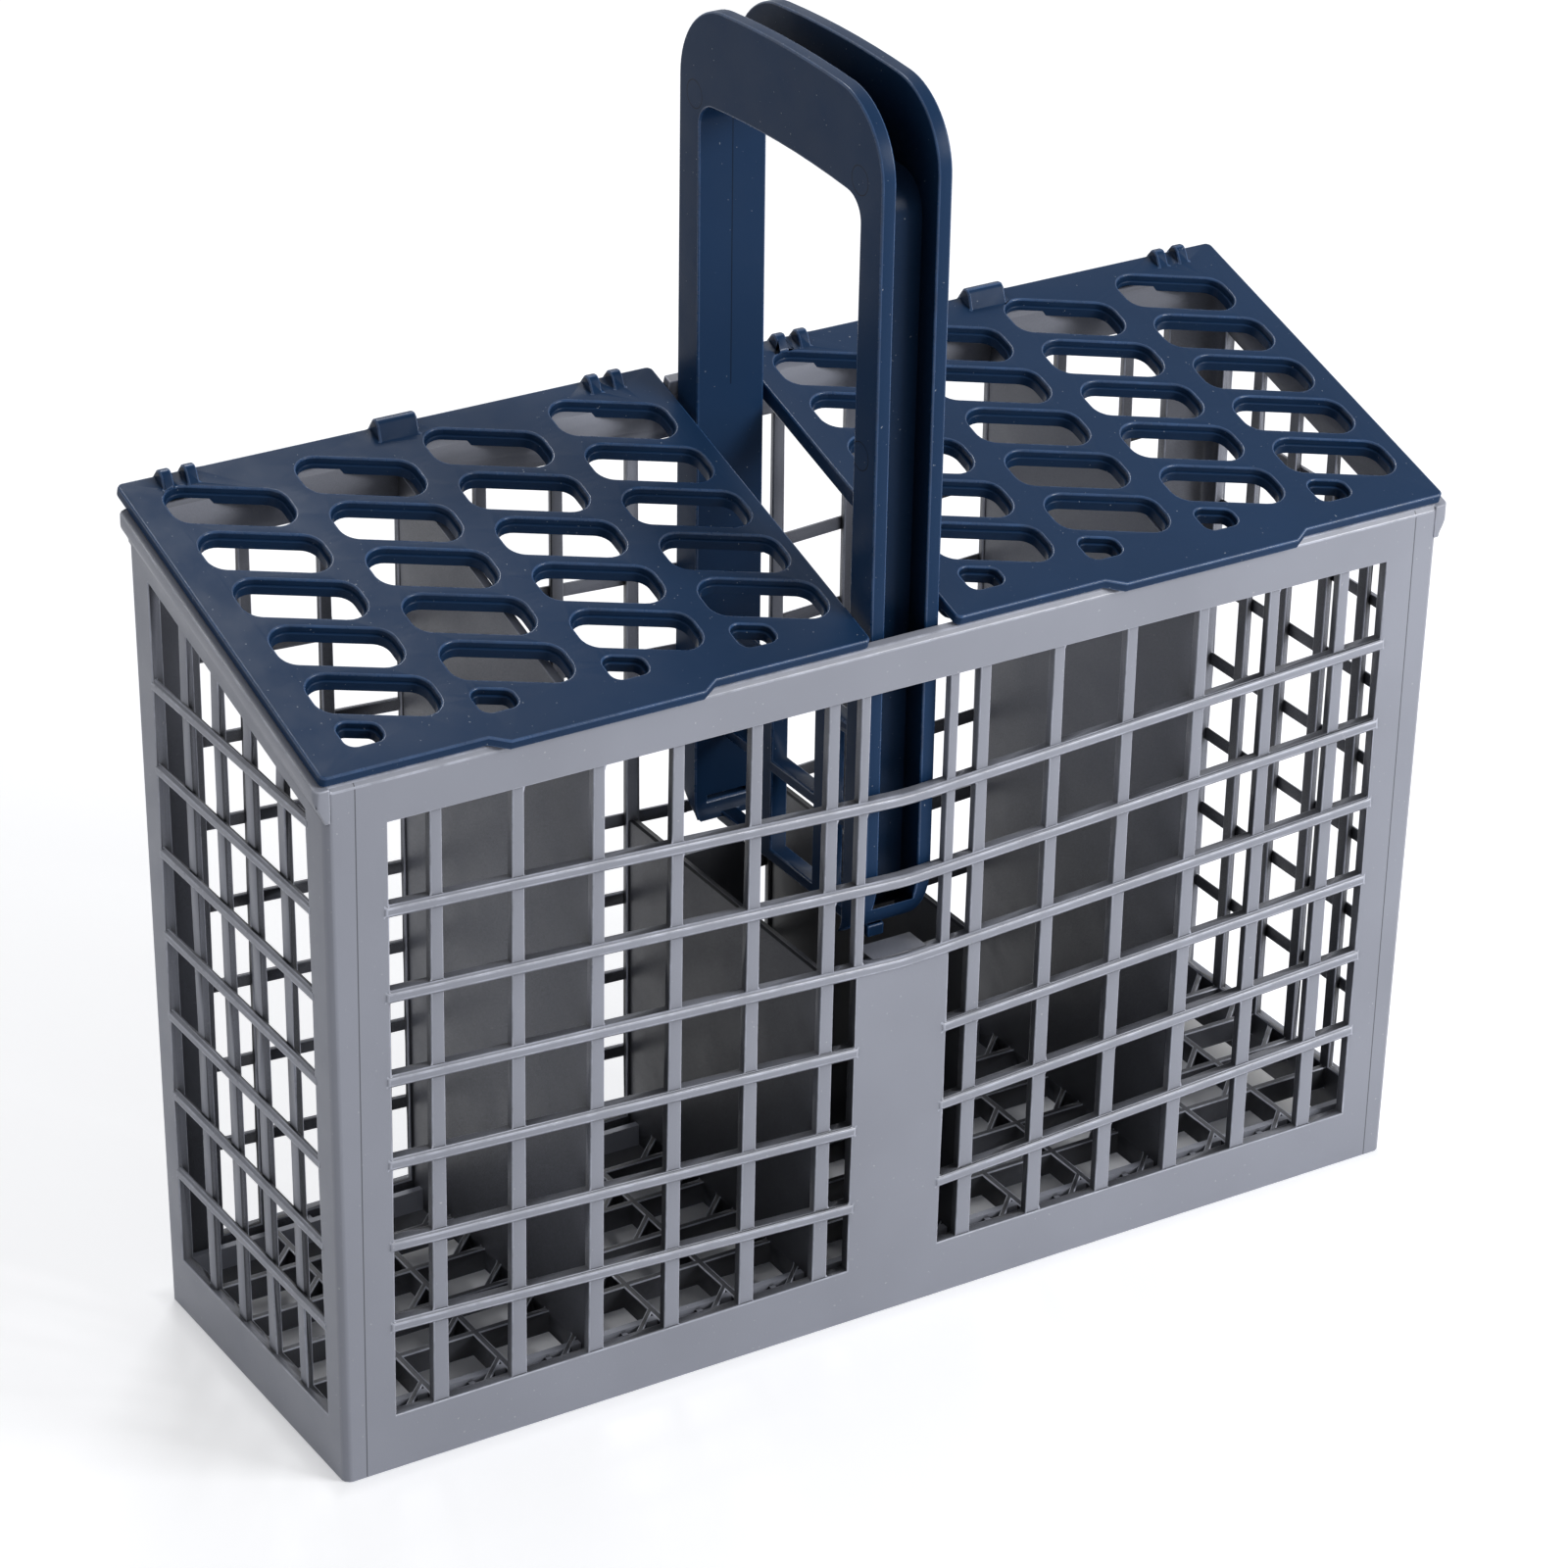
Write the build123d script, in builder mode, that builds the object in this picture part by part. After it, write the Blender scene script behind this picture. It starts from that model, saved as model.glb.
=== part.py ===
"""Dishwasher cutlery basket: a lattice basket, two slotted lids hinged at the back, and a carrying handle."""
import os
from math import cos, radians, sin, sqrt, tan

from build123d import *

# Sizes in millimetres, angles in degrees. X runs along the length, Y from front to back, Z up from the base.

# Basket shell
base_length = 242.0
base_depth = 75.0
draft = 0.55
wall = 2.4
corner_cut = 1.2
corner_ease = 0.4
front_height = 147.4
rim_slope = 16.7
rim_chamfer = 0.8

# Flared seat along the rim of each end wall
flare_reach = 1.9
flare_fall = 6.5
flare_edge = 1.8
flare_corner = 1.2
flare_chords = 6

# Lattice openings
sill = 12.0
rim_band = 9.4
long_window_half = 110.0
end_window_half = 31.0
centre_panel_half = 10.5
back_panel_height = 69.0
back_panel_corner = 3.0

# Upright bars, wider at the foot than at the top
bar_pitch = 16.7
bars_each_side = 6
bar_top_width = 2.4
bar_foot_width = 3.3
bar_recess = 0.4
back_bar_recess = 1.0
narrow_bar_x = 9.8
narrow_bar_width = 2.0
end_bar_pitch = 12.9
end_bars = 4
end_bar_width = 3.0
end_bar_recess = 1.0

# Rails: those of the long walls dip to the middle, those of the end walls are level
rail_first = 31.8
rail_pitch = 17.65
front_rails = 6
tall_wall_rails = 7
rails_beside_panel = 3
rail_dip = 6.05
rail_bend_radius = 60.0
rail_height = 2.6
rail_proud = 0.35
rail_chamfer = 0.6
rail_overlap = 1.2
end_rail_proud = 0.15
frame_overlap = 0.5

# Partitions and floor
partition_thickness = 1.8
tall_partition_bar = 4
low_partition_bar = 1
low_partition_top = 80.0
partition_below_rim = 3.0
partition_edge = 1.5
floor_top = 11.6
floor_thickness = 5.0
floor_rib = 1.5
floor_brace_reach = 6.5
floor_brace_width = 1.2
floor_seat = 0.4

# Lids, placed on the sloping rim: distances along the slope start at the front outer edge of the rim
lid_inner_x = 9.4
lid_outer_x = 122.9
lid_middle = 66.2
lid_clearance = 0.2
lid_flange = 2.2
lid_drop = 1.3
lid_front = 0.6
lid_back = 85.7
lid_field_gap = 0.9
lid_corner = 1.2
lid_field_corner = 2.5
tab_base = 47.0
tab_tip = 40.0
tab_reach = 2.3

# Lid slots: slanted rows, the same way on both lids
slot_columns = 4
slot_rows = 5
slot_width = 22.0
slot_height = 11.1
slot_column_pitch = 27.0
slot_row_pitch = 13.9
slot_slant = 0.40
slot_field_middle = 65.5
slot_shift = 0.5
slot_row_drift = 0.38
slot_back_margin = 2.4
slot_front_margin = 5.9
slot_corner = 4.0
small_slot_width = 7.6
small_slot_corner = 2.0

# Hinges: a pin between two ears on the lid, held by an open hook on the basket
hinge_spacing = 45.2
hinge_back = 85.0
hinge_drop = 1.2
pin_radius = 1.1
pin_clearance = 0.25
hook_radius = 2.1
hook_mouth = 1.9
hook_side_clearance = 0.3
hook_root = 5.5
pocket_clearance = 0.3
ear_radius = 2.6
ear_crest_radius = 1.6
ear_toe = 3.5
side_hinge_width = 7.4
side_ear_width = 2.4
side_ear_rise = 2.2
middle_hinge_width = 8.5
middle_ear_width = 2.6
middle_ear_rise = 3.0
back_stop_half = 8.9
back_stop_rise = 3.2

# Handle
handle_width = 14.9
handle_half_depth = 35.6
handle_top = 252.8
handle_crown = 2.2
handle_corner = 16.0
handle_foot = 80.4
grip_half = 28.3
leg_spread = 1.0
grip_top = 233.7
grip_crown = 1.5
grip_corner = 5.0
handle_side = 3.0
handle_web = 2.2
foot_plate = 3.5
divider_thickness = 3.8
rung_heights = [81.1, 100.7, 120.8]
rung_height = 2.6
stile_inner = 7.65
stile_outer = 13.0
ledge_half_width = 6.0
ledge_height = 10.0
ledge_reach = 5.0

# Small roundings are drawn with few straight sides, to keep the facets few
round_sides = 8
corner_chords = 3


def half_depth(height):
    """Distance from the middle to the outer face of the front or back wall at a height."""
    return base_depth / 2 + height * tan(radians(draft))


def half_length(height):
    """Distance from the middle to the outer face of an end wall at a height."""
    return base_length / 2 + height * tan(radians(draft))


def is_upright(edge):
    """Tell the long upright edges of the shell from its level ones."""
    return edge.bounding_box().size.Z > sill


# The outer faces of the four walls, each with its local y running up the wall
lean = radians(draft)
wall_square = wall * cos(lean)
front_face = Plane((0, -base_depth / 2, 0), x_dir=(1, 0, 0), z_dir=(0, -cos(lean), -sin(lean)))
back_face = Plane((0, base_depth / 2, 0), x_dir=(-1, 0, 0), z_dir=(0, cos(lean), -sin(lean)))
left_face = Plane((-base_length / 2, 0, 0), x_dir=(0, -1, 0), z_dir=(-cos(lean), 0, -sin(lean)))
right_face = Plane((base_length / 2, 0, 0), x_dir=(0, 1, 0), z_dir=(cos(lean), 0, -sin(lean)))

# The rim plane starts at the front outer edge, with its local y running up the slope to the back
slope = radians(rim_slope)
front_y = -half_depth(front_height)
rim_plane = Plane((0, front_y, front_height), x_dir=(1, 0, 0), z_dir=(0, -sin(slope), cos(slope)))


def rim_height(y):
    """Height of the sloping rim at a place from front to back."""
    return front_height + (y - front_y) * tan(slope)


back_height = rim_height(half_depth(front_height))
front_inner_edge = wall / cos(slope)
back_inner_edge = (half_depth(back_height) - wall - front_y) / cos(slope)
front_window_top = front_height - rim_band
back_window_top = back_height - rim_band
rail_levels = [rail_first + number * rail_pitch for number in range(tall_wall_rails)]
front_panel_height = rail_levels[rails_beside_panel] - rail_dip
rail_reach = long_window_half + rail_overlap

# Rib lines of the floor, under the bars of all walls; the openings beside the walls run a little into them
floor_end = base_length / 2 - wall + floor_seat
floor_side = base_depth / 2 - wall + floor_seat
floor_lines_x = [number * bar_pitch for number in range(-bars_each_side, bars_each_side + 1)]
floor_lines_y = [(number - (end_bars - 1) / 2) * end_bar_pitch for number in range(end_bars)]
end_cell_width = floor_end - floor_lines_x[-1] - floor_rib / 2
edge_cell_depth = floor_side - floor_lines_y[-1] - floor_rib / 2

# The hinge pins lie just below the rim plane, behind the back wall
pin_y = front_y + hinge_back * cos(slope) + hinge_drop * sin(slope)
pin_z = front_height + hinge_back * sin(slope) - hinge_drop * cos(slope)
hinge_plan = [
    (-hinge_spacing, side_hinge_width, side_ear_width, side_ear_rise),
    (0, middle_hinge_width, middle_ear_width, middle_ear_rise),
    (hinge_spacing, side_hinge_width, side_ear_width, side_ear_rise),
]


def make_block(inset):
    """Make a block between the four drafted wall faces, each moved inward by an inset."""
    with BuildPart() as block:
        with BuildSketch(Plane.XY):
            Rectangle(2 * base_length, 2 * base_depth)
        extrude(amount=back_height + wall)
        for face in (front_face, back_face, left_face, right_face):
            split(bisect_by=face.offset(-inset), keep=Keep.BOTTOM)
    return block.part


def draw_long_rails(count):
    """Draw the rails of a long wall: the lowest stop at the centre panel, the others run across."""
    stop = centre_panel_half - rail_overlap
    for number in range(count):
        level = rail_levels[number]
        if number < rails_beside_panel:
            level_at_stop = level - rail_dip * (1 - stop / rail_reach)
            for side in (-1, 1):
                with BuildLine() as half_path:
                    Line((side * rail_reach, level), (side * stop, level_at_stop))
                trace(half_path.line, rail_height)
        else:
            with BuildLine() as whole_path:
                Polyline((-rail_reach, level), (0, level - rail_dip), (rail_reach, level))
                fillet(whole_path.vertices().sort_by(Axis.X)[1], rail_bend_radius)
            trace(whole_path.line, rail_height)


def draw_tapered_bars(window_top):
    """Draw the upright bars of a long wall, each wider at its foot."""
    foot = sill - frame_overlap
    head = window_top + frame_overlap
    for number in range(-bars_each_side, bars_each_side + 1):
        if number == 0:
            continue
        middle = number * bar_pitch
        with BuildLine() as bar_outline:
            Polyline(
                (middle - bar_foot_width / 2, foot),
                (middle + bar_foot_width / 2, foot),
                (middle + bar_top_width / 2, head),
                (middle - bar_top_width / 2, head),
                close=True,
            )
        make_face(bar_outline.edges())


def draw_front_bars():
    """Draw the bars of the front wall, with two narrow ones above the edges of its centre panel."""
    draw_tapered_bars(front_window_top)
    with Locations((-narrow_bar_x, 0), (narrow_bar_x, 0)):
        with Locations((0, (front_panel_height + front_window_top) / 2)):
            Rectangle(narrow_bar_width, front_window_top - front_panel_height + 2 * frame_overlap)


def draw_back_bars():
    """Draw the bars of the back wall."""
    draw_tapered_bars(back_window_top)


def draw_end_window(side):
    """Draw the opening of an end wall; side is the local x direction that points to the back."""
    with BuildLine() as window_outline:
        Polyline(
            (-side * end_window_half, sill),
            (side * end_window_half, sill),
            (side * end_window_half, rim_height(end_window_half) - rim_band),
            (-side * end_window_half, rim_height(-end_window_half) - rim_band),
            close=True,
        )
    make_face(window_outline.edges())


def draw_end_bars(side):
    """Draw the upright bars of an end wall, each reaching its own height under the sloping band."""
    foot = sill - frame_overlap
    for number in range(end_bars):
        place = (number - (end_bars - 1) / 2) * end_bar_pitch
        head = rim_height(place) - rim_band + 2 * frame_overlap
        with Locations((side * place, (foot + head) / 2)):
            Rectangle(end_bar_width, head - foot)


def draw_end_rails():
    """Draw the level rails of an end wall."""
    for level in rail_levels:
        with Locations((0, level)):
            Rectangle(2 * (end_window_half + rail_overlap), rail_height)


def draw_floor_cells(lefts, fronts, width, depth):
    """Cut the openings of some floor cells: a large one and, behind a thin corner brace, a small one."""
    small = floor_brace_reach - floor_brace_width * sqrt(2)
    with Locations(*[(left, front) for left in lefts for front in fronts]):
        Polygon(
            (0, 0),
            (width - floor_brace_reach, 0),
            (width, floor_brace_reach),
            (width, depth),
            (0, depth),
            align=None,
            mode=Mode.SUBTRACT,
        )
        Polygon((width - small, 0), (width, 0), (width, small), align=None, mode=Mode.SUBTRACT)


def draw_floor():
    """Draw the floor: crossed ribs with braced cells, those along the walls larger than the others."""
    Rectangle(2 * (floor_end + floor_seat), 2 * (floor_side + floor_seat))
    after_lines_x = [line + floor_rib / 2 for line in floor_lines_x]
    after_lines_y = [line + floor_rib / 2 for line in floor_lines_y]
    column_plan = [
        ([-floor_end, after_lines_x[-1]], end_cell_width),
        (after_lines_x[:-1], bar_pitch - floor_rib),
    ]
    row_plan = [
        ([-floor_side, after_lines_y[-1]], edge_cell_depth),
        (after_lines_y[:-1], end_bar_pitch - floor_rib),
    ]
    for lefts, width in column_plan:
        for fronts, depth in row_plan:
            draw_floor_cells(lefts, fronts, width, depth)


def chord_corners(points, radius):
    """Round the corners of an outline with a few short chords each."""
    corners = [Vector(*point) for point in points]
    outline = []
    before_corners = corners[-1:] + corners[:-1]
    after_corners = corners[1:] + corners[:1]
    for before, corner, after in zip(before_corners, corners, after_corners):
        back_way = (before - corner).normalized()
        on_way = (after - corner).normalized()
        half_angle = radians(back_way.get_angle(on_way)) / 2
        middle = corner + (back_way + on_way).normalized() * (radius / sin(half_angle))
        start = corner + back_way * (radius / tan(half_angle)) - middle
        finish = corner + on_way * (radius / tan(half_angle)) - middle
        for step in range(corner_chords + 1):
            arm = start + (finish - start) * (step / corner_chords)
            outline.append(middle + arm.normalized() * radius)
    return outline


def draw_panel(left, right, front, back, corner):
    """Draw a flat panel between its four edges, with softened corners."""
    Polygon(*chord_corners([(left, front), (right, front), (right, back), (left, back)], corner), align=None)


def make_lattice(face, draw_bars, recess, draw_rails, proud, rail_depth):
    """Make the lattice of one wall: recessed upright bars, crossed by proud rails with eased edges."""
    with BuildPart() as lattice:
        with BuildSketch(face.offset(proud)):
            draw_rails()
        extrude(amount=-proud - rail_depth)
        outward = Axis(face.origin, face.z_dir)
        chamfer(lattice.faces().filter_by(outward).group_by(outward)[-1].edges(), rail_chamfer)
        with BuildSketch(face.offset(-recess)):
            draw_bars()
        extrude(amount=recess - wall_square)
    return lattice.part


def draw_front_rails():
    """Draw the rails of the front wall."""
    draw_long_rails(front_rails)


def draw_back_rails():
    """Draw the rails of the back wall."""
    draw_long_rails(tall_wall_rails)


def draw_left_bars():
    """Draw the bars of the left end wall."""
    draw_end_bars(-1)


def draw_right_bars():
    """Draw the bars of the right end wall."""
    draw_end_bars(1)


# The rails of the front wall go through it; those of the other walls lie in front of the bars
lattices = [
    make_lattice(front_face, draw_front_bars, bar_recess, draw_front_rails, rail_proud, wall_square),
    make_lattice(back_face, draw_back_bars, back_bar_recess, draw_back_rails, rail_proud, back_bar_recess),
    make_lattice(left_face, draw_left_bars, end_bar_recess, draw_end_rails, end_rail_proud, end_bar_recess),
    make_lattice(right_face, draw_right_bars, end_bar_recess, draw_end_rails, end_rail_proud, end_bar_recess),
]

# Flared seats: an S-shaped lip drawn across the slope in short straight lines, trimmed to the plan of the rim
flare_root = half_length(front_height)
flare_end = flare_root + flare_reach
flare_inside = flare_root - wall / 2
across_slope = Plane(rim_plane.origin, x_dir=(1, 0, 0), z_dir=-rim_plane.y_dir)
with BuildPart() as flares:
    with BuildSketch(across_slope):
        for side in (-1, 1):
            bends = []
            for number in range(flare_chords + 1):
                part_way = number / flare_chords
                swing = (1 - cos(radians(180 * part_way))) / 2
                level = -flare_fall + (flare_fall - flare_edge) * part_way
                bends.append((side * (flare_root + flare_reach * swing), level))
            seat = [(side * flare_end, 0), (side * flare_inside, 0), (side * flare_inside, -flare_fall)]
            Polygon(*bends, *seat, align=None)
    extrude(amount=base_depth * 2, both=True)
    with BuildSketch(Plane.XY):
        draw_panel(-flare_end, flare_end, front_y, -front_y, flare_corner)
    extrude(amount=2 * back_height, mode=Mode.INTERSECT)

# Floor
with BuildPart() as floor:
    with BuildSketch(Plane.XY.offset(floor_top - floor_thickness)):
        draw_floor()
    extrude(amount=floor_thickness)

# Fittings inside the shell and on its back rim
with BuildPart() as fittings:
    # Partitions, with edges that follow the draft of the long walls into their bars
    foot_edge = half_depth(0) - partition_edge
    floor_underside = floor_top - floor_thickness
    tall_front = rim_height(front_y) - partition_below_rim
    tall_back = rim_height(-front_y) - partition_below_rim
    partition_plan = [
        (tall_partition_bar, tall_front, tall_back),
        (low_partition_bar, low_partition_top, low_partition_top),
    ]
    for bar, top_front, top_back in partition_plan:
        for side in (-1, 1):
            with BuildSketch(Plane.YZ.offset(side * bar * bar_pitch)):
                with BuildLine():
                    Polyline(
                        (-foot_edge, floor_underside),
                        (foot_edge, floor_underside),
                        (half_depth(top_back) - partition_edge, top_back),
                        (-half_depth(top_front) + partition_edge, top_front),
                        close=True,
                    )
                make_face()
            extrude(amount=partition_thickness / 2, both=True)

    # Ledge inside the front centre panel, under the foot of the handle
    ledge_root = -half_depth(handle_foot) + wall / 2
    ledge_tip = -half_depth(handle_foot) + wall + ledge_reach
    with BuildSketch(Plane.YZ):
        with BuildLine():
            Polyline(
                (ledge_root, handle_foot - ledge_height),
                (ledge_root + wall, handle_foot - ledge_height),
                (ledge_tip, handle_foot - ledge_height / 3),
                (ledge_tip, handle_foot),
                (ledge_root, handle_foot),
                close=True,
            )
        make_face()
    extrude(amount=ledge_half_width, both=True)

    # Raised stop on the back rim between the lids
    with BuildSketch(rim_plane.offset(-wall)):
        with Locations((0, back_inner_edge + wall / 2)):
            Rectangle(2 * back_stop_half, wall)
    extrude(amount=wall + back_stop_rise)

    # Hinge hooks standing off the back wall, open to the back so that the pins snap in
    hook_wall = half_depth(pin_z) - wall / 2
    for lid_side in (-1, 1):
        for offset, width, ear_width, rise in hinge_plan:
            hook_width = width - 2 * ear_width - 2 * hook_side_clearance
            with BuildSketch(Plane.YZ.offset(lid_side * lid_middle + offset)):
                with BuildLine():
                    Polyline(
                        (hook_wall, pin_z - hook_root),
                        (pin_y, pin_z - hook_radius),
                        (pin_y, pin_z),
                        (hook_wall, pin_z - pin_radius),
                        close=True,
                    )
                make_face()
                with Locations((pin_y, pin_z)):
                    RegularPolygon(hook_radius, round_sides)
                    RegularPolygon(pin_radius + pin_clearance, round_sides, mode=Mode.SUBTRACT)
                with Locations((pin_y + hook_radius, pin_z)):
                    Rectangle(2 * hook_radius, hook_mouth, mode=Mode.SUBTRACT)
            extrude(amount=hook_width / 2, both=True)

# Basket
with BuildPart() as basket:
    # Shell: a drafted tube with eased corners, cut off along the sloping rim
    add(make_block(0))
    for cut in (corner_cut, corner_ease):
        chamfer(basket.edges().filter_by(is_upright), cut)
    add(make_block(wall_square), mode=Mode.SUBTRACT)
    split(bisect_by=rim_plane, keep=Keep.BOTTOM)
    top_edges = basket.edges().filter_by(Axis.X).filter_by_position(Axis.Z, sill, back_height)
    chamfer(top_edges.sort_by(Axis.Y)[0], rim_chamfer)
    add(flares.part)

    # Window openings
    with BuildSketch(front_face):
        with Locations((0, (sill + front_window_top) / 2)):
            Rectangle(2 * long_window_half, front_window_top - sill)
        with Locations((0, front_panel_height / 2)):
            Rectangle(2 * centre_panel_half, front_panel_height, mode=Mode.SUBTRACT)
    extrude(amount=-2 * wall, mode=Mode.SUBTRACT)
    with BuildSketch(back_face):
        with Locations((0, (sill + back_window_top) / 2)):
            Rectangle(2 * long_window_half, back_window_top - sill)
        with Locations((0, back_panel_height / 2)):
            RectangleRounded(2 * centre_panel_half, back_panel_height, back_panel_corner, mode=Mode.SUBTRACT)
    extrude(amount=-2 * wall, mode=Mode.SUBTRACT)
    for face, side in ((left_face, -1), (right_face, 1)):
        with BuildSketch(face):
            draw_end_window(side)
        extrude(amount=-2 * wall, mode=Mode.SUBTRACT)

    # Lattices, floor and fittings
    add(lattices)
    add([floor.part, fittings.part])

basket.part.label = "basket"


def up_the_slope(x):
    """Upright plane at a place along the length: its local x runs up the slope, its local y square to the rim."""
    return Plane(rim_plane.from_local_coords(Vector(x, 0, 0)), x_dir=rim_plane.y_dir, z_dir=(1, 0, 0))


def make_lid(side):
    """Make the lid of one half: side is -1 for the left and 1 for the right."""
    middle = side * lid_middle
    left_edge, right_edge = sorted((side * lid_inner_x, side * lid_outer_x))
    top_level = lid_clearance + lid_flange
    underside = rim_plane.offset(lid_clearance)

    # One slot with its back left corner at the origin, and one small slot in the same position
    slot_outline = [
        (0, 0),
        (slot_width, -slot_slant * slot_width),
        (slot_width, -slot_slant * slot_width - slot_height),
        (0, -slot_height),
    ]
    first_row = lid_back - slot_back_margin
    small_row = first_row - slot_rows * slot_row_pitch
    small_height = small_row - lid_front - slot_front_margin
    small_outline = [
        (0, 0),
        (small_slot_width, -slot_slant * small_slot_width),
        (small_slot_width, -small_height),
        (0, -small_height),
    ]
    field_width = (slot_columns - 1) * slot_column_pitch + slot_width
    first_column = side * slot_field_middle + slot_shift - field_width / 2
    columns = [first_column + number * slot_column_pitch for number in range(slot_columns)]
    slot_places = [
        (column + row * slot_row_drift, first_row - row * slot_row_pitch)
        for column in columns
        for row in range(slot_rows)
    ]
    small_places = [(column + slot_rows * slot_row_drift, small_row) for column in columns]

    with BuildPart() as lid:
        # Flange that lies on the rim, with the finger tab
        with BuildSketch(underside):
            draw_panel(left_edge, right_edge, lid_front, lid_back, lid_corner)
            with BuildLine():
                Polyline(
                    (middle - tab_base / 2, lid_front + frame_overlap),
                    (middle - tab_base / 2, lid_front),
                    (middle - tab_tip / 2, lid_front - tab_reach),
                    (middle + tab_tip / 2, lid_front - tab_reach),
                    (middle + tab_base / 2, lid_front),
                    (middle + tab_base / 2, lid_front + frame_overlap),
                    close=True,
                )
            make_face()
        extrude(amount=lid_flange)

        # Field that drops inside the walls
        field_outer = half_length(front_height) - wall - lid_field_gap
        field_left, field_right = sorted((side * lid_inner_x, side * field_outer))
        field_front = front_inner_edge + lid_field_gap
        field_back = back_inner_edge - lid_field_gap
        with BuildSketch(underside):
            draw_panel(field_left, field_right, field_front, field_back, lid_field_corner)
        extrude(amount=-lid_drop)

        # Slots
        with BuildSketch(rim_plane):
            with Locations(*slot_places):
                Polygon(*chord_corners(slot_outline, slot_corner), align=None)
            with Locations(*small_places):
                Polygon(*chord_corners(small_outline, small_slot_corner), align=None)
        extrude(amount=2 * top_level, both=True, mode=Mode.SUBTRACT)

        # Hinges: a pocket over each hook, then the ears and the pin between them
        for offset, width, ear_width, rise in hinge_plan:
            place = middle + offset
            gap = width - 2 * ear_width
            with BuildSketch(Plane.YZ.offset(place)):
                with Locations((pin_y, pin_z)):
                    RegularPolygon(hook_radius + pocket_clearance, round_sides)
            extrude(amount=gap / 2, both=True, mode=Mode.SUBTRACT)
            along = up_the_slope(place)
            for ear_side in (-1, 1):
                ear_middle = ear_side * (gap + ear_width) / 2
                with BuildSketch(along.offset(ear_middle)):
                    with Locations((hinge_back, -hinge_drop)):
                        RegularPolygon(ear_radius, round_sides)
                    with Locations((hinge_back - ear_crest_radius / 2, top_level + rise - ear_crest_radius)):
                        RegularPolygon(ear_crest_radius, round_sides)
                    with Locations((hinge_back - ear_toe, top_level - lid_flange / 4)):
                        RegularPolygon(lid_flange / 4, round_sides)
                    make_hull()
                extrude(amount=ear_width / 2, both=True)
            with BuildSketch(Plane.YZ.offset(place)):
                with Locations((pin_y, pin_z)):
                    RegularPolygon(pin_radius, round_sides)
            extrude(amount=width / 2, both=True)

        # The middle hinge has one wide crest over both of its ears
        with BuildSketch(up_the_slope(middle)):
            with Locations((hinge_back - ear_crest_radius / 2, top_level + middle_ear_rise - ear_crest_radius)):
                RegularPolygon(ear_crest_radius, round_sides)
            with Locations((hinge_back - ear_toe, top_level - lid_flange / 4)):
                RegularPolygon(lid_flange / 4, round_sides)
            with Locations((lid_back - lid_flange / 4, top_level - lid_flange / 4)):
                RegularPolygon(lid_flange / 4, round_sides)
            make_hull()
        extrude(amount=middle_hinge_width / 2, both=True)
    return lid.part


left_lid = make_lid(-1)
left_lid.label = "lid_left"
right_lid = make_lid(1)
right_lid.label = "lid_right"


def draw_arch(half, low_half, top, crown, corner, foot, mode):
    """Draw an upright arch in the YZ plane: its half width at the top and at the foot, and its rounded top."""
    shoulder = top - crown
    with BuildLine() as arch:
        Polyline((half, shoulder), (low_half, foot), (-low_half, foot), (-half, shoulder))
        ThreePointArc((-half, shoulder), (0, top), (half, shoulder))
        fillet(arch.vertices().group_by(Axis.Z)[-1], corner)
    make_face(arch.edges(), mode=mode)


# Handle: an arch of channel section, open outward, with a lattice divider between its legs
with BuildPart() as handle:
    grip_low_half = grip_half - leg_spread
    with BuildSketch(Plane.YZ):
        outer_half = handle_half_depth
        draw_arch(outer_half, outer_half, handle_top, handle_crown, handle_corner, handle_foot, Mode.ADD)
        draw_arch(grip_half, grip_low_half, grip_top, grip_crown, grip_corner, handle_foot, Mode.SUBTRACT)
    extrude(amount=handle_width / 2, both=True)

    # Channel between the two side plates, stopping at the foot plates
    channel_foot = handle_foot + foot_plate
    outside_half = handle_half_depth + handle_web
    outside_top = handle_top + handle_web
    web_half = grip_half + handle_web
    web_low_half = grip_low_half + handle_web
    web_top = grip_top + handle_web
    web_corner = grip_corner + handle_web
    with BuildSketch(Plane.YZ):
        draw_arch(outside_half, outside_half, outside_top, handle_crown, handle_corner, channel_foot, Mode.ADD)
        draw_arch(web_half, web_low_half, web_top, grip_crown, web_corner, channel_foot, Mode.SUBTRACT)
    extrude(amount=handle_width / 2 - handle_side, both=True, mode=Mode.SUBTRACT)

    # Divider: two stiles and three rungs that run from leg to leg
    stile_foot = rung_heights[0] - rung_height / 2
    stile_head = rung_heights[-1] + rung_height / 2
    with BuildSketch(Plane.YZ):
        for rung in rung_heights:
            with Locations((0, rung)):
                Rectangle(2 * (grip_low_half + handle_web / 2), rung_height)
        for stile_side in (-1, 1):
            with Locations((stile_side * (stile_inner + stile_outer) / 2, (stile_foot + stile_head) / 2)):
                Rectangle(stile_outer - stile_inner, stile_head - stile_foot)
    extrude(amount=divider_thickness / 2, both=True)

handle.part.label = "handle"

os.makedirs("parts", exist_ok=True)
export_step(basket.part, "parts/basket.step")
export_step(left_lid, "parts/lid_left.step")
export_step(right_lid, "parts/lid_right.step")
export_step(handle.part, "parts/handle.step")
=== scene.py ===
"""Looks for the dishwasher cutlery basket: rounded mouldings, satin plastics, floor, lights and camera."""
from math import cos, radians, sin, tan

import bmesh
import bpy
from mathutils import Matrix, Vector
from mathutils.bvhtree import BVHTree


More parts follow.
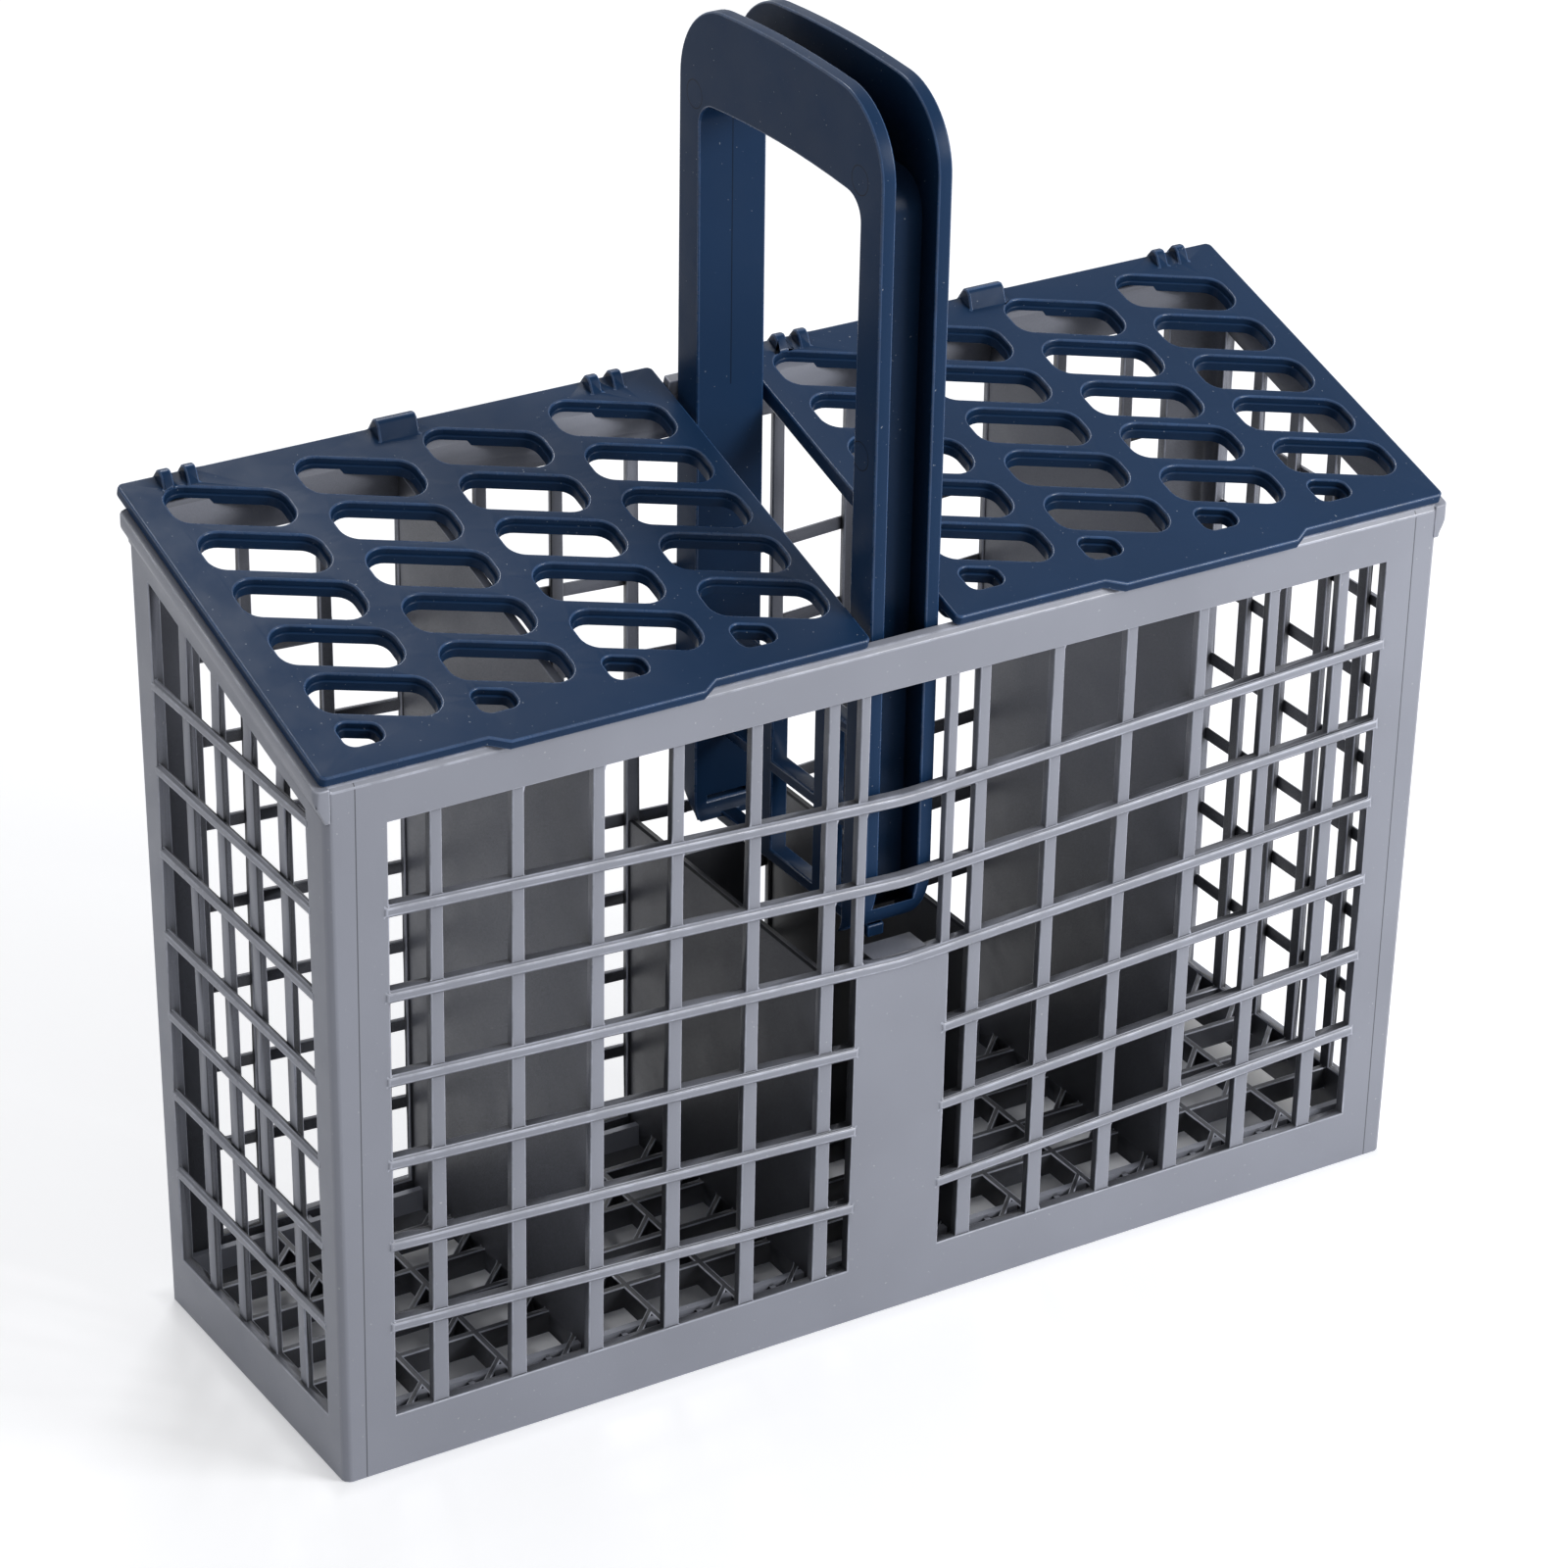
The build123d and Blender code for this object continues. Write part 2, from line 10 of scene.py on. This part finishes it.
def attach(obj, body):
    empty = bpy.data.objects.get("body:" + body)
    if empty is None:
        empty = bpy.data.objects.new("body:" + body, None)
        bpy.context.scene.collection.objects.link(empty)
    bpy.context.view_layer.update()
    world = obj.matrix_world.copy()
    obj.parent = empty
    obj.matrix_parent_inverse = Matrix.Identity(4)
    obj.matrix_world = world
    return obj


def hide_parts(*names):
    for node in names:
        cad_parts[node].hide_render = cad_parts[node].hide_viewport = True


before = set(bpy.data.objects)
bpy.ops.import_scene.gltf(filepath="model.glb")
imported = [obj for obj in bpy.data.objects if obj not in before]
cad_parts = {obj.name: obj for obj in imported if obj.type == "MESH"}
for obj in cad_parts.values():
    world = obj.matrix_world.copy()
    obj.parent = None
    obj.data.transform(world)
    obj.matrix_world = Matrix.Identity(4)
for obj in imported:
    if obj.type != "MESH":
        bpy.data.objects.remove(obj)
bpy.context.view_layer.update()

# Camera, fitted to the photo's edges: angles in degrees, lengths in metres, lens and sensor in millimetres
view_azimuth = -31.905
view_elevation = 27.42
view_roll = 1.032
view_distance = 0.97842
view_target = Vector((-0.03568, -0.05137, 0.13228))
view_lens = 123.75
sensor_width = 36.0
near_clip = 0.01

# Lights: angles in degrees, lengths in metres, power in watts
light_aim = Vector((0, 0, 0.11))
key_light = {"azimuth": 40, "elevation": 24, "distance": 0.95, "size": 0.4, "power": 5.8}
back_light = {"azimuth": 155, "elevation": 57, "distance": 1.6, "size": 0.4, "power": 6}
world_fill = 0.36
white_strength = 1.0
white = (1, 1, 1, 1)

# Floor: it shows white from just inside the edge of the basket's footprint outwards; inside, the glow is
# left off as a painted shadow under the basket; lengths in metres
floor_half = 4.0
floor_colour = (0.80, 0.81, 0.84, 1)
floor_roughness = 0.8
floor_gloss = 0.2
floor_glow = 0.50
base_half_length = 0.121
base_half_depth = 0.0375
glow_start = -0.012
glow_full = 0.004

# Plastics, in linear colour; painted shade in hollows: a reach in metres, then the open shares of a fully
# shaded and of an unshaded spot
grey_look = {
    "colour": (0.298, 0.312, 0.366),
    "specks": (0.60, 0.60, 0.62),
    "roughness": 0.40,
    "gloss": 0.40,
    "painted_hollow_shade": (0.060, 0.50, 1.0),
    "edge_highlight_gain": 1.35,
    "edge_roughness": 0.28,
    "edge_gloss": 0.5,
}
blue_look = {
    "colour": (0.0117, 0.0358, 0.0905),
    "specks": (0.40, 0.45, 0.52),
    "roughness": 0.36,
    "gloss": 0.08,
    "painted_hollow_shade": (0.012, 0.30, 0.90),
    "edge_highlight_gain": 1.7,
    "edge_roughness": 0.26,
    "edge_gloss": 0.4,
}

# Patterns in the plastics: noise scale, detail and roughness, then the range of the noise that is used
cloud_noise = (28, 3, 0.5)
cloud_range = (0.3, 0.7)
cloud_shades = (0.94, 1.06)
speck_noise = (1500, 1, 0.5)
speck_range = (0.77, 0.80)
speck_strength = 0.6
scuff_noise = (90, 4, 0.65)
scuff_range = (0.35, 0.7)
grain_noise = (2600, 2, 0.5)
grain_strength = 0.06
grain_height = 0.0002
rub_noise = (160, 3, 0.6)
rub_shades = (0.8, 1.2)
edge_scuff_noise = (400, 2, 0.5)
edge_range = (0.35, 0.65)
roughness_less = 0.05
roughness_more = 0.08
# Painted shade in hollows: the share of the colour left where it is darkest, and the rays that find the
# hollows
painted_shade_level = 0.12
painted_shade_samples = 6

# Fine lines left by the mould, in metres: joints by the front corners and in the grip, rings on the handle
line_half_width = 0.00012
line_shade = 0.35
front_joint_x = 0.1164
front_joint_y = -0.0368
ring_radius = 0.00275
ring_places = [(0.0300, 0.2335), (-0.0280, 0.2358), (-0.0303, 0.1830)]
ring_plate_x = 0.0073
handle_reach_x = 0.0078
grip_joint_y = 0.0288
grip_joint_z = 0.1740

# Edge rounding of the mouldings, in metres
grey_round = 0.00025
blue_round = 0.0004
round_steps = 2
crease_angle = radians(34)
weld_distance = 1e-6
largest_face_weight = 100

# Rounded faces that leave the form: the share of the rounding allowed, tries, and how near edges stay sharp
stray_reach = 0.7
stray_rounds = 10
stray_neighbourhood = 0.0025

# Narrow ribs along the long walls of the floor, in metres
bar_pitch = 0.0167
bars_each_side = 6
edge_rib_y = 0.03225
edge_rib_half = 0.00075
edge_rib_end = 0.1186
edge_stub_y = 0.0353
edge_stub_half = 0.0006
edge_stub_drop = 0.0006
floor_low = 0.0068
floor_high = 0.0115

# Slots of the lids, in metres; they lie on the sloping rim plane
rim_slope = radians(16.7)
rim_front_y = -0.038915
rim_front_z = 0.1474
slot_columns = 4
slot_rows = 5
slot_width = 0.0220
slot_height = 0.0111
slot_column_pitch = 0.0270
slot_row_pitch = 0.0139
slot_slant = 0.40
slot_field_middle = 0.0655
slot_shift = 0.0005
slot_row_drift = 0.00038
slot_first_row = 0.0833
slot_corner = 0.0040
slot_corner_steps = 8
small_slot_width = 0.0076
small_slot_height = 0.0073
small_slot_corner = 0.0020
cutter_room = 0.00005
cutter_low = -0.0040
cutter_high = 0.0060

# Lips inside the slots, in metres
lip_width = 0.00040
lip_root = 0.00010
lip_round = 0.00015
lip_top = 0.00090
lip_bottom = -0.00105

# The lids and the side of the basket that each is on
lid_sides = [("lid_left", -1), ("lid_right", 1)]


def add_object(name, data):
    """Make an object and put it in the scene."""
    item = bpy.data.objects.new(name, data)
    bpy.context.scene.collection.objects.link(item)
    return item


def finish_mesh(shape, mesh):
    """Write the built shape into a mesh."""
    shape.to_mesh(mesh)
    shape.free()
    return mesh


def scaled(colour, factor):
    """Lighten or darken a colour."""
    return tuple(channel * factor for channel in colour)


# Helpers for node materials

def new_nodes(name):
    """Make an empty node material with its shader joined to the output."""
    material = bpy.data.materials.new(name)
    material.use_nodes = True
    tree = material.node_tree
    tree.nodes.clear()
    output = tree.nodes.new("ShaderNodeOutputMaterial")
    shader = tree.nodes.new("ShaderNodeBsdfPrincipled")
    tree.links.new(shader.outputs["BSDF"], output.inputs["Surface"])
    return material, tree, shader


def add_noise(tree, noise_kind):
    """Add a noise texture in object coordinates."""
    scale, detail, roughness = noise_kind
    coordinates = tree.nodes.new("ShaderNodeTexCoord")
    noise = tree.nodes.new("ShaderNodeTexNoise")
    noise.inputs["Scale"].default_value = scale
    noise.inputs["Detail"].default_value = detail
    noise.inputs["Roughness"].default_value = roughness
    tree.links.new(coordinates.outputs["Object"], noise.inputs["Vector"])
    return noise.outputs["Fac"]


def add_range(tree, value, from_range, to_range):
    """Map a value from one range to another, held inside the new range."""
    node = tree.nodes.new("ShaderNodeMapRange")
    node.inputs["From Min"].default_value = from_range[0]
    node.inputs["From Max"].default_value = from_range[1]
    node.inputs["To Min"].default_value = to_range[0]
    node.inputs["To Max"].default_value = to_range[1]
    tree.links.new(value, node.inputs["Value"])
    return node.outputs["Result"]


def add_mix(tree, factor, first, second):
    """Mix two colours; each is a colour or a socket."""
    node = tree.nodes.new("ShaderNodeMix")
    node.data_type = "RGBA"
    tree.links.new(factor, node.inputs["Factor"])
    for value, socket in ((first, node.inputs["A"]), (second, node.inputs["B"])):
        if isinstance(value, tuple):
            socket.default_value = (*value, 1)
        else:
            tree.links.new(value, socket)
    return node.outputs["Result"]


def add_math(tree, operation, first, second):
    """Join a value and a number, or two values, by one operation."""
    node = tree.nodes.new("ShaderNodeMath")
    node.operation = operation
    for value, socket in ((first, node.inputs[0]), (second, node.inputs[1])):
        if isinstance(value, (int, float)):
            socket.default_value = value
        else:
            tree.links.new(value, socket)
    return node.outputs["Value"]


def add_position(tree):
    """Give the three object coordinates of the shaded point."""
    coordinates = tree.nodes.new("ShaderNodeTexCoord")
    split = tree.nodes.new("ShaderNodeSeparateXYZ")
    tree.links.new(coordinates.outputs["Object"], split.inputs["Vector"])
    return split.outputs["X"], split.outputs["Y"], split.outputs["Z"]


def without_sign(tree, value):
    """Give a value without its sign."""
    return add_math(tree, "ABSOLUTE", value, 0)


def near(tree, value, place):
    """Give 1 where a value lies within half a line's width of a place, and 0 elsewhere."""
    distance = without_sign(tree, add_math(tree, "SUBTRACT", value, place))
    return add_math(tree, "LESS_THAN", distance, line_half_width)


def squared_offset(tree, value, place):
    """Give the square of how far a value lies from a place."""
    return add_math(tree, "POWER", add_math(tree, "SUBTRACT", value, place), 2)


# Materials of the mouldings

def basket_lines(tree):
    """Mould joints that run up the front wall beside its two corners."""
    x, y = add_position(tree)[:2]
    line = near(tree, without_sign(tree, x), front_joint_x)
    on_front = add_math(tree, "LESS_THAN", y, front_joint_y)
    return add_math(tree, "MULTIPLY", line, on_front)


def handle_lines(tree):
    """Rings on the side plates of the handle, and the mould joint along the inside of its grip."""
    x, y, z = add_position(tree)
    from_middle = without_sign(tree, x)
    inside_grip = add_math(tree, "LESS_THAN", without_sign(tree, y), grip_joint_y)
    above_rim = add_math(tree, "GREATER_THAN", z, grip_joint_z)
    on_grip = add_math(tree, "MULTIPLY", inside_grip, above_rim)
    on_handle = add_math(tree, "LESS_THAN", from_middle, handle_reach_x)
    past_plate = add_math(tree, "GREATER_THAN", from_middle, ring_plate_x)
    on_plate = add_math(tree, "MULTIPLY", on_handle, past_plate)
    lines = add_math(tree, "MULTIPLY", near(tree, x, 0), on_grip)
    for ring_y, ring_z in ring_places:
        squares = add_math(tree, "ADD", squared_offset(tree, y, ring_y), squared_offset(tree, z, ring_z))
        distance = add_math(tree, "SQRT", squares, 0)
        ring = add_math(tree, "MULTIPLY", near(tree, distance, ring_radius), on_plate)
        lines = add_math(tree, "MAXIMUM", lines, ring)
    return lines


def roughness_around(middle):
    """Give the range of roughness that scuffs spread around a middle value."""
    return middle - roughness_less, middle + roughness_more


def moulded_plastic(name, look, draw_lines):
    """Satin moulded plastic: flow clouds, fine specks, scuffs, grain, painted shade in hollows and mould
    lines.
    """
    material, tree, shader = new_nodes(name)
    colour = look["colour"]

    # Broad clouds from the melt's flow
    cloud_amount = add_range(tree, add_noise(tree, cloud_noise), cloud_range, (0, 1))
    base = add_mix(tree, cloud_amount, scaled(colour, cloud_shades[0]), scaled(colour, cloud_shades[1]))

    # Small pale specks of dust
    speck_amount = add_range(tree, add_noise(tree, speck_noise), speck_range, (0, speck_strength))
    base = add_mix(tree, speck_amount, base, look["specks"])

    # Painted shade that darkens corners and hollows, where the plastic's own parts keep the light out
    shade_reach, dark, unshaded_share = look["painted_hollow_shade"]
    painted_hollow_shade = tree.nodes.new("ShaderNodeAmbientOcclusion")
    painted_hollow_shade.samples = painted_shade_samples
    painted_hollow_shade.only_local = True
    painted_hollow_shade.inputs["Distance"].default_value = shade_reach
    unshaded_amount = add_range(tree, painted_hollow_shade.outputs["AO"], (dark, unshaded_share), (0, 1))
    base = add_mix(tree, unshaded_amount, scaled(colour, painted_shade_level), base)

    # Mould lines, darker than the faces
    base = add_mix(tree, draw_lines(tree), base, scaled(colour, line_shade))
    tree.links.new(base, shader.inputs["Base Color"])

    # Uneven gloss
    scuffs = add_noise(tree, scuff_noise)
    roughness = add_range(tree, scuffs, scuff_range, roughness_around(look["roughness"]))
    tree.links.new(roughness, shader.inputs["Roughness"])
    shader.inputs["Specular IOR Level"].default_value = look["gloss"]

    # Fine grain from the mould
    bump = tree.nodes.new("ShaderNodeBump")
    bump.inputs["Strength"].default_value = grain_strength
    bump.inputs["Distance"].default_value = grain_height
    tree.links.new(add_noise(tree, grain_noise), bump.inputs["Height"])
    tree.links.new(bump.outputs["Normal"], shader.inputs["Normal"])
    return material


def highlit_worn_edge(name, look):
    """Rounded edges, painted paler as a highlight, mottled as if rubbed, and glossier than the faces."""
    material, tree, shader = new_nodes(name)
    # The edge colour is lifted paler than the faces: a painted highlight
    colour = scaled(look["colour"], look["edge_highlight_gain"])
    rub = add_range(tree, add_noise(tree, rub_noise), edge_range, (0, 1))
    base = add_mix(tree, rub, scaled(colour, rub_shades[0]), scaled(colour, rub_shades[1]))
    tree.links.new(base, shader.inputs["Base Color"])
    scuffs = add_noise(tree, edge_scuff_noise)
    roughness = add_range(tree, scuffs, edge_range, roughness_around(look["edge_roughness"]))
    tree.links.new(roughness, shader.inputs["Roughness"])
    shader.inputs["Specular IOR Level"].default_value = look["edge_gloss"]
    return material


# Rounded copies of the CAD nodes

def cut_copy(node_name, cutter):
    """Give the mesh of a CAD node, with the cutter's prisms taken out of it."""
    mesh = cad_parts[node_name].data.copy()
    if cutter is None:
        return mesh
    blank = add_object(node_name + "_blank", mesh)
    tool = add_object(node_name + "_cutter", cutter)
    cut = blank.modifiers.new("slots", "BOOLEAN")
    cut.operation = "DIFFERENCE"
    cut.solver = "EXACT"
    cut.object = tool
    cut_mesh = bpy.data.meshes.new_from_object(blank.evaluated_get(bpy.context.evaluated_depsgraph_get()))
    for item in (blank, tool):
        bpy.data.objects.remove(item)
    return cut_mesh


def find_strays(piece, surface, width):
    """Give the corners of all faces of a rounded piece that leave the surface by more than is allowed."""
    rounded = piece.evaluated_get(bpy.context.evaluated_depsgraph_get()).data
    places = [vertex.co.copy() for vertex in rounded.vertices]
    strays = []
    for polygon in rounded.polygons:
        probes = [(places[first] + places[second]) / 2 for first, second in polygon.edge_keys]
        probes.append(polygon.center)
        if max(surface.find_nearest(probe)[3] for probe in probes) > stray_reach * width:
            strays.extend(places[index] for index in polygon.vertices)
    return strays


def keep_edges_sharp(mesh, places):
    """Take the rounding off the edges of a mesh that end close to any of the places."""
    weights = mesh.attributes["bevel_weight_edge"].data
    for edge in mesh.edges:
        if weights[edge.index].value:
            ends = [mesh.vertices[index].co for index in edge.vertices]
            if any((end - place).length < stray_neighbourhood for end in ends for place in places):
                weights[edge.index].value = 0


def mark_edges(shape):
    """Mark the outside edges of a shape to be rounded, and shade it smooth except at its inside corners."""
    bevel_weight = shape.edges.layers.float.new("bevel_weight_edge")
    for edge in shape.edges:
        turn = edge.calc_face_angle_signed(0) if len(edge.link_faces) == 2 else 0
        edge.smooth = turn > -crease_angle
        edge[bevel_weight] = 1.0 if turn > crease_angle else 0.0
    for face in shape.faces:
        face.smooth = True


def round_edges(piece, width):
    """Round the marked edges of a piece, and leave sharp those whose rounding would leave the form."""
    mesh = piece.data
    bevel = piece.modifiers.new("round edges", "BEVEL")
    bevel.material = 1
    bevel.limit_method = "WEIGHT"
    bevel.width = width
    bevel.segments = round_steps
    bevel.use_clamp_overlap = False
    bevel.loop_slide = False
    corners = [vertex.co for vertex in mesh.vertices]
    surface = BVHTree.FromPolygons(corners, [polygon.vertices for polygon in mesh.polygons])
    for attempt in range(stray_rounds):
        strays = find_strays(piece, surface, width)
        if not strays:
            break
        keep_edges_sharp(mesh, strays)
    flatten = piece.modifiers.new("flat faces", "WEIGHTED_NORMAL")
    flatten.weight = largest_face_weight
    flatten.keep_sharp = True


def rounded_copy(node_name, body, width, materials, cutter=None):
    """Replace a CAD node by a copy of the same form with its outside edges rounded and its slots smooth."""
    mesh = bpy.data.meshes.new(node_name + "_moulding")
    shape = bmesh.new()
    shape.from_mesh(cut_copy(node_name, cutter))
    bmesh.ops.remove_doubles(shape, verts=shape.verts, dist=weld_distance)
    mark_edges(shape)
    piece = add_object(node_name + "_moulding", finish_mesh(shape, mesh))
    for material in materials:
        mesh.materials.append(material)
    for polygon in mesh.polygons:
        polygon.material_index = 0
    round_edges(piece, width)
    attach(piece, body)
    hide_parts(node_name)


# Ribs along the floor

def add_box(shape, low, high):
    """Add one box between two opposite corners."""
    low, high = Vector(low), Vector(high)
    place = Matrix.Translation((low + high) / 2) @ Matrix.Diagonal((*(high - low), 1))
    bmesh.ops.create_cube(shape, size=1, matrix=place)


def add_floor_edges(material):
    """Add the narrow ribs along the long walls of the floor, joined to the walls by a stub in each cell."""
    shape = bmesh.new()
    for side in (-1, 1):
        rib_middle = side * edge_rib_y
        rib_start = (-edge_rib_end, rib_middle - edge_rib_half, floor_low)
        rib_finish = (edge_rib_end, rib_middle + edge_rib_half, floor_high)
        add_box(shape, rib_start, rib_finish)
        near_y, far_y = sorted((rib_middle, side * edge_stub_y))
        for number in range(-bars_each_side, bars_each_side):
            stub_x = (number + 0.5) * bar_pitch
            stub_start = (stub_x - edge_stub_half, near_y, floor_low)
            stub_finish = (stub_x + edge_stub_half, far_y, floor_high - edge_stub_drop)
            add_box(shape, stub_start, stub_finish)
    mesh = finish_mesh(shape, bpy.data.meshes.new("basket_floor_edges"))
    mesh.materials.append(material)
    ribs = add_object("basket_floor_edges", mesh)
    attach(ribs, "basket")


# Slots of the lids and the lips inside them

def rim_point(across, up_slope, above):
    """Place a point given along the rim, up its slope and square to it."""
    y = rim_front_y + up_slope * cos(rim_slope) - above * sin(rim_slope)
    z = rim_front_z + up_slope * sin(rim_slope) + above * cos(rim_slope)
    return Vector((across, y, z))


def rounded_corners(points, radius):
    """Give the arc centre and the outward arm of each point on an outline with rounded corners."""
    corners = [Vector(point) for point in points]
    arms = []
    for before, corner, after in zip(corners[-1:] + corners[:-1], corners, corners[1:] + corners[:1]):
        back_way = (before - corner).normalized()
        on_way = (after - corner).normalized()
        half_angle = back_way.angle(on_way) / 2
        centre = corner + (back_way + on_way).normalized() * (radius / sin(half_angle))
        start = (corner + back_way * (radius / tan(half_angle)) - centre).normalized()
        finish = (corner + on_way * (radius / tan(half_angle)) - centre).normalized()
        for step in range(slot_corner_steps + 1):
            arms.append((centre, start.slerp(finish, step / slot_corner_steps)))
    return arms


def place_slots(side):
    """Give the outline, corner radius and place of each slot of the lid on one side."""
    fall = slot_slant * slot_width
    outline = [(0, 0), (slot_width, -fall), (slot_width, -fall - slot_height), (0, -slot_height)]
    small_fall = slot_slant * small_slot_width
    small_end = -small_slot_height
    small_outline = [(0, 0), (small_slot_width, -small_fall), (small_slot_width, small_end), (0, small_end)]
    field_width = (slot_columns - 1) * slot_column_pitch + slot_width
    first_column = side * slot_field_middle + slot_shift - field_width / 2
    slots = []
    for column in range(slot_columns):
        for row in range(slot_rows + 1):
            across = first_column + column * slot_column_pitch + row * slot_row_drift
            place = (across, slot_first_row - row * slot_row_pitch)
            if row < slot_rows:
                slots.append((outline, slot_corner, place))
            else:
                slots.append((small_outline, small_slot_corner, place))
    return slots


def add_ring(shape, slot, reach, above):
    """Add the corners of a slot's outline, moved outwards by a reach, at a height above the rim."""
    outline, radius, place = slot
    arms = rounded_corners(outline, radius)
    points = [Vector(place) + centre + arm * (radius + reach) for centre, arm in arms]
    return [shape.verts.new(rim_point(point.x, point.y, above)) for point in points]


def join_rings(shape, first, second):
    """Join two rings of corners by a band of faces."""
    for number in range(len(first)):
        after = (number + 1) % len(first)
        shape.faces.new((first[number], first[after], second[after], second[number]))


def make_slot_cutter(side):
    """Make one prism with smooth corners for each slot of the lid on one side."""
    shape = bmesh.new()
    for slot in place_slots(side):
        low_ring = add_ring(shape, slot, cutter_room, cutter_low)
        high_ring = add_ring(shape, slot, cutter_room, cutter_high)
        shape.faces.new(low_ring)
        shape.faces.new(high_ring)
        join_rings(shape, low_ring, high_ring)
    bmesh.ops.recalc_face_normals(shape, faces=shape.faces)
    return finish_mesh(shape, bpy.data.meshes.new("slot_cutter"))


def add_lip(shape, slot):
    """Add one raised lip around the inside of a slot."""
    section = [
        (lip_root, lip_top),
        (lip_round - lip_width, lip_top),
        (-lip_width, lip_top - lip_round),
        (-lip_width, lip_bottom),
        (lip_root, lip_bottom),
    ]
    rings = [add_ring(shape, slot, reach, above) for reach, above in section]
    for first, second in zip(rings, rings[1:] + rings[:1]):
        join_rings(shape, first, second)


def add_slot_lips(node_name, side, material):
    """Add the lips of all slots of one lid."""
    shape = bmesh.new()
    for slot in place_slots(side):
        add_lip(shape, slot)
    bmesh.ops.recalc_face_normals(shape, faces=shape.faces)
    for edge in shape.edges:
        edge.smooth = edge.calc_face_angle(0) < crease_angle
    for face in shape.faces:
        face.smooth = True
    mesh = finish_mesh(shape, bpy.data.meshes.new(node_name + "_slot_lips"))
    mesh.materials.append(material)
    lips = add_object(node_name + "_slot_lips", mesh)
    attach(lips, node_name)


# Floor, lights, world and camera

def add_seen(tree):
    """Give 1 to rays from the camera, a reflection or a clear body, and 0 to the rest."""
    paths = tree.nodes.new("ShaderNodeLightPath")
    seen = add_math(tree, "MAXIMUM", paths.outputs["Is Camera Ray"], paths.outputs["Is Glossy Ray"])
    return add_math(tree, "MAXIMUM", seen, paths.outputs["Is Transmission Ray"])


def add_floor():
    """Lay a pale floor that shows white to the camera around the basket, leaves the glow off under it as a
    painted shadow, and keeps the basket's shadow.
    """
    mesh = bpy.data.meshes.new("floor")
    corners = [(x * floor_half, y * floor_half, 0) for x, y in ((-1, -1), (1, -1), (1, 1), (-1, 1))]
    mesh.from_pydata(corners, [], [(0, 1, 2, 3)])
    floor = add_object("floor", mesh)
    material, tree, shader = new_nodes("floor_white")
    shader.inputs["Base Color"].default_value = floor_colour
    shader.inputs["Roughness"].default_value = floor_roughness
    shader.inputs["Specular IOR Level"].default_value = floor_gloss
    shader.inputs["Emission Color"].default_value = white
    x, y = add_position(tree)[:2]
    # No glow inside the basket's footprint: a painted shadow under the basket
    past_end = add_math(tree, "SUBTRACT", without_sign(tree, x), base_half_length)
    past_side = add_math(tree, "SUBTRACT", without_sign(tree, y), base_half_depth)
    past_base = add_math(tree, "MAXIMUM", past_end, past_side)
    clear_of_base = add_range(tree, past_base, (glow_start, glow_full), (0, floor_glow))
    glow = add_math(tree, "MULTIPLY", add_seen(tree), clear_of_base)
    tree.links.new(glow, shader.inputs["Emission Strength"])
    mesh.materials.append(material)


def view_direction(azimuth, elevation):
    """Give the way from the basket to a place seen at an azimuth and elevation; azimuth 0 is in front."""
    angle, rise = radians(azimuth), radians(elevation)
    return Vector((sin(angle) * cos(rise), -cos(angle) * cos(rise), sin(rise)))


def add_area_light(name, azimuth, elevation, distance, size, power):
    """Add a square soft light that points at the middle of the basket."""
    data = bpy.data.lights.new(name, "AREA")
    data.shape = "SQUARE"
    data.size = size
    data.energy = power
    light = add_object(name, data)
    away = view_direction(azimuth, elevation)
    light.location = light_aim + distance * away
    light.rotation_euler = away.to_track_quat("Z", "Y").to_euler()


def add_background(tree, strength):
    """Add a white background shader to the world."""
    background = tree.nodes.new("ShaderNodeBackground")
    background.inputs["Color"].default_value = white
    background.inputs["Strength"].default_value = strength
    return background.outputs["Background"]


def add_world():
    """Fill with pale light, and show white behind the object to the camera and in reflections."""
    world = bpy.data.worlds.new("studio")
    bpy.context.scene.world = world
    world.use_nodes = True
    tree = world.node_tree
    tree.nodes.clear()
    output = tree.nodes.new("ShaderNodeOutputWorld")
    mix = tree.nodes.new("ShaderNodeMixShader")
    tree.links.new(add_seen(tree), mix.inputs["Fac"])
    tree.links.new(add_background(tree, world_fill), mix.inputs[1])
    tree.links.new(add_background(tree, white_strength), mix.inputs[2])
    tree.links.new(mix.outputs["Shader"], output.inputs["Surface"])


def add_camera():
    """Set the camera where the photo was taken from."""
    back = view_direction(view_azimuth, view_elevation)
    angle, roll = radians(view_azimuth), radians(view_roll)
    level_right = Vector((cos(angle), sin(angle), 0))
    level_up = back.cross(level_right)
    right = cos(roll) * level_right + sin(roll) * level_up
    up = cos(roll) * level_up - sin(roll) * level_right
    data = bpy.data.cameras.new("camera")
    data.sensor_width = sensor_width
    data.lens = view_lens
    data.clip_start = near_clip
    camera = add_object("camera", data)
    turn = Matrix((right, up, back)).transposed().to_4x4()
    camera.matrix_world = Matrix.Translation(view_target + view_distance * back) @ turn
    bpy.context.scene.camera = camera


grey_plastic = moulded_plastic("grey_plastic", grey_look, basket_lines)
blue_plastic = moulded_plastic("blue_plastic", blue_look, handle_lines)
grey_finish = (grey_plastic, highlit_worn_edge("grey_edge", grey_look))
blue_finish = (blue_plastic, highlit_worn_edge("blue_edge", blue_look))

rounded_copy("basket", "basket", grey_round, grey_finish)
rounded_copy("handle", "basket", blue_round, blue_finish)
for lid_name, lid_side in lid_sides:
    rounded_copy(lid_name, lid_name, blue_round, blue_finish, make_slot_cutter(lid_side))
add_floor_edges(grey_plastic)
for lid_name, lid_side in lid_sides:
    add_slot_lips(lid_name, lid_side, blue_plastic)

add_floor()
add_area_light("key", **key_light)
add_area_light("back", **back_light)
add_world()
add_camera()
bpy.context.scene.view_settings.view_transform = "Standard"
